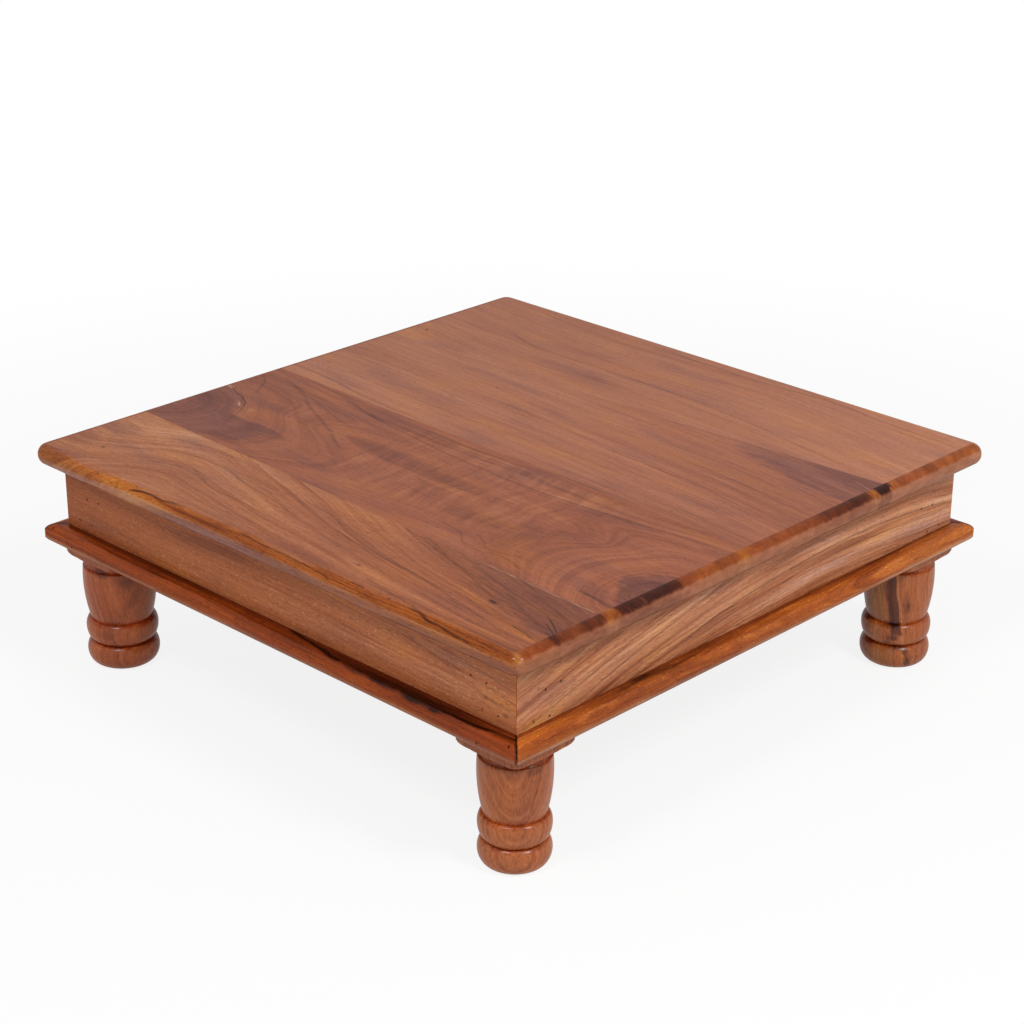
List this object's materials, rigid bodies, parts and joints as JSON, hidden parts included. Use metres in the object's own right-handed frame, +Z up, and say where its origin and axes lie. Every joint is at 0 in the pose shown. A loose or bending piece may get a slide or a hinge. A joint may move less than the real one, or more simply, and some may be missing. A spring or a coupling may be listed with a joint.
{
  "type": "low table",
  "caption": "Low square wooden floor table: glued-up top with rounded edge, mitred apron over a rounded base moulding, and short turned legs with bead and rounded foot.",
  "frame": {"origin": "on the ground, midway between the four feet, under the middle of the top", "axes": "+Z up through the top, -Y the front (along the top's grain), +X the right-hand, end-grain side"},
  "size_m": [0.457, 0.457, 0.1608],
  "materials": {
    "top_wood": "clear gloss lacquer over figured red-brown hardwood",
    "apron_wood": "clear satin lacquer over straight-grained red-brown hardwood",
    "moulding_wood": "clear gloss lacquer over orange-brown hardwood",
    "leg_wood": "clear gloss lacquer over turned tan-brown hardwood",
    "inner_wood": "bare sawn softwood, unfinished",
    "screw_steel": "bright zinc-plated steel",
    "brad_steel": "dull dark steel, punched in and stained over"
  },
  "bodies": {
    "root": {"top_board_1": "top_wood", "top_board_2": "top_wood", "top_board_3": "top_wood", "top_board_4": "top_wood", "apron_front": "apron_wood", "apron_right": "apron_wood", "apron_back": "apron_wood", "apron_left": "apron_wood", "moulding_front": "moulding_wood", "moulding_right": "moulding_wood", "moulding_back": "moulding_wood", "moulding_left": "moulding_wood", "leg_front_right": "leg_wood", "leg_back_right": "leg_wood", "leg_back_left": "leg_wood", "leg_front_left": "leg_wood", "corner_block_front_right": "inner_wood", "corner_block_back_right": "inner_wood", "corner_block_back_left": "inner_wood", "corner_block_front_left": "inner_wood", "cleat_front": "inner_wood", "cleat_right": "inner_wood", "cleat_back": "inner_wood", "cleat_left": "inner_wood", "batten_left": "inner_wood", "batten_right": "inner_wood", "base_screws": "screw_steel", "leg_screws": "screw_steel", "cleat_screws": "screw_steel", "cleat_top_screws": "screw_steel", "batten_screws": "screw_steel", "apron_brads": "brad_steel", "moulding_brads": "brad_steel"}
  },
  "joints": []
}
